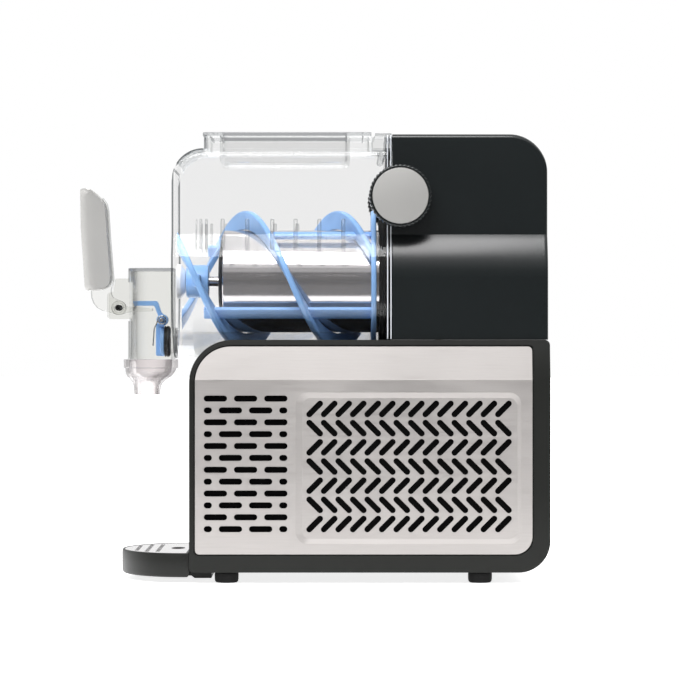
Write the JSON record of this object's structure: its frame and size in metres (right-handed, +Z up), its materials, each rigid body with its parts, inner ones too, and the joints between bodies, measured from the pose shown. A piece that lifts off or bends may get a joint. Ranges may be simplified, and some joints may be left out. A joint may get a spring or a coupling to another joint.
{
  "type": "frozen drink machine",
  "caption": "Countertop frozen drink machine: chilled drum and screw auger in a clear slide-off tank, pull lever spout, locking side knobs, vented base and drip tray.",
  "frame": {"origin": "on the ground under the middle of the machine's outer box", "axes": "-Y is the front where the spout is, +Z is up, +X is the machine's left as it faces its user"},
  "size_m": [0.184, 0.4538, 0.4318],
  "materials": {
    "casing_grey": "moulded plastic, fine matt grain",
    "satin_black": "moulded plastic, satin black",
    "brushed_steel": "stainless sheet brushed lengthways",
    "polished_steel": "polished stainless steel",
    "clear_plastic": "clear moulded plastic, stands for polycarbonate or copolyester",
    "auger_blue": "blue food grade moulded plastic",
    "silver_paint": "silver painted plastic",
    "black_rubber": "moulded rubber",
    "plain_metal": "plain metal",
    "compressor_paint": "black enamel on steel",
    "copper_tube": "drawn copper tube",
    "circuit_green": "circuit board",
    "gloss_black": "glossy black panel"
  },
  "bodies": {
    "chassis": {"vent_filter_right": "black_rubber", "vent_filter_left": "black_rubber", "base_shell": "casing_grey", "side_panel_right": "brushed_steel", "side_panel_left": "brushed_steel", "base_floor": "casing_grey", "foot_front_right": "black_rubber", "foot_front_left": "black_rubber", "foot_rear_right": "black_rubber", "foot_rear_left": "black_rubber", "rear_grille": "casing_grey", "power_inlet": "satin_black", "control_panel": "gloss_black", "display_lens": "clear_plastic", "control_board": "circuit_green", "compressor": "compressor_paint", "condenser": "plain_metal", "fan_shroud": "casing_grey", "fan_motor": "plain_metal", "discharge_line": "copper_tube", "suction_line": "copper_tube", "rear_housing": "satin_black", "bulkhead": "satin_black", "shaft_bush": "polished_steel", "gearbox": "plain_metal", "gear_motor": "compressor_paint", "evaporator_drum": "polished_steel", "drum_end_cap": "black_rubber", "tank_seal": "black_rubber"},
    "auger": {"auger_spiral": "auger_blue", "drive_shaft": "polished_steel"},
    "fan": {"fan_rotor": "satin_black"},
    "tank": {"tank_shell": "clear_plastic", "spout_body": "clear_plastic", "spout_nozzle": "clear_plastic", "lever_pin": "black_rubber", "valve_pin": "polished_steel", "valve_spring": "polished_steel"},
    "lid": {"fill_lid": "clear_plastic"},
    "lever": {"lever_arm": "clear_plastic", "lever_handle": "silver_paint"},
    "valve": {"valve_rocker": "auger_blue", "valve_seal": "black_rubber"},
    "knob_right": {"knob_ring_right": "satin_black", "knob_disc_right": "silver_paint", "knob_shaft_right": "plain_metal"},
    "knob_left": {"knob_ring_left": "satin_black", "knob_disc_left": "silver_paint", "knob_shaft_left": "plain_metal"},
    "tray": {"drip_tray": "casing_grey"},
    "grille": {"tray_grille": "polished_steel"},
    "button_one": {"button_1": "plain_metal"},
    "button_two": {"button_2": "plain_metal"},
    "button_three": {"button_3": "plain_metal"},
    "switch": {"power_switch": "gloss_black"}
  },
  "joints": [
    {"name": "auger_spin", "type": "hinge", "parent": "chassis", "child": "auger", "pos_m": [0, 0, 0.2887], "axis": [0, 1, 0], "continuous": true},
    {"name": "fan_spin", "type": "hinge", "parent": "chassis", "child": "fan", "pos_m": [0.036, 0.112, 0.105], "axis": [1, 0, 0], "continuous": true},
    {"name": "tank_slide", "type": "slide", "parent": "chassis", "child": "tank", "axis": [0, -1, 0], "range_m": [0, 0.24]},
    {"name": "lid_hinge", "type": "hinge", "parent": "tank", "child": "lid", "pos_m": [0, 0.0575, 0.43], "axis": [-1, 0, 0], "range_deg": [0, 100]},
    {"name": "lever_pull", "type": "hinge", "parent": "tank", "child": "lever", "pos_m": [0, -0.1891, 0.263], "axis": [1, 0, 0], "range_deg": [0, 20], "stiffness_Nm_per_rad": 0.3, "springref_deg": -14.32},
    {"name": "valve_swing", "type": "hinge", "parent": "tank", "child": "valve", "pos_m": [0, -0.1464, 0.251], "axis": [1, 0, 0], "range_deg": [-33, 0]},
    {"name": "knob_right_turn", "type": "hinge", "parent": "chassis", "child": "knob_right", "pos_m": [0.08, 0.0845, 0.3687], "axis": [1, 0, 0], "range_deg": [0, 90]},
    {"name": "knob_left_turn", "type": "hinge", "parent": "chassis", "child": "knob_left", "pos_m": [-0.08, 0.0845, 0.3687], "axis": [1, 0, 0], "range_deg": [0, 90]},
    {"name": "tray_slide", "type": "slide", "parent": "chassis", "child": "tray", "axis": [0, -1, 0], "range_m": [0, 0.09]},
    {"name": "grille_lift", "type": "slide", "parent": "tray", "child": "grille", "axis": [0, 0, 1], "range_m": [0, 0.04]},
    {"name": "button_1_press", "type": "slide", "parent": "chassis", "child": "button_one", "axis": [0, 1, 0], "range_m": [0, 0.001], "stiffness_N_per_m": 300},
    {"name": "button_2_press", "type": "slide", "parent": "chassis", "child": "button_two", "axis": [0, 1, 0], "range_m": [0, 0.001], "stiffness_N_per_m": 300},
    {"name": "button_3_press", "type": "slide", "parent": "chassis", "child": "button_three", "axis": [0, 1, 0], "range_m": [0, 0.001], "stiffness_N_per_m": 300},
    {"name": "switch_rock", "type": "hinge", "parent": "chassis", "child": "switch", "pos_m": [-0.047, 0.2149, 0.18], "axis": [1, 0, 0], "range_deg": [-7, 7]}
  ],
  "couplings": [
    {"joint": "valve_swing", "follows": "lever_pull", "ratio": -1.6}
  ]
}
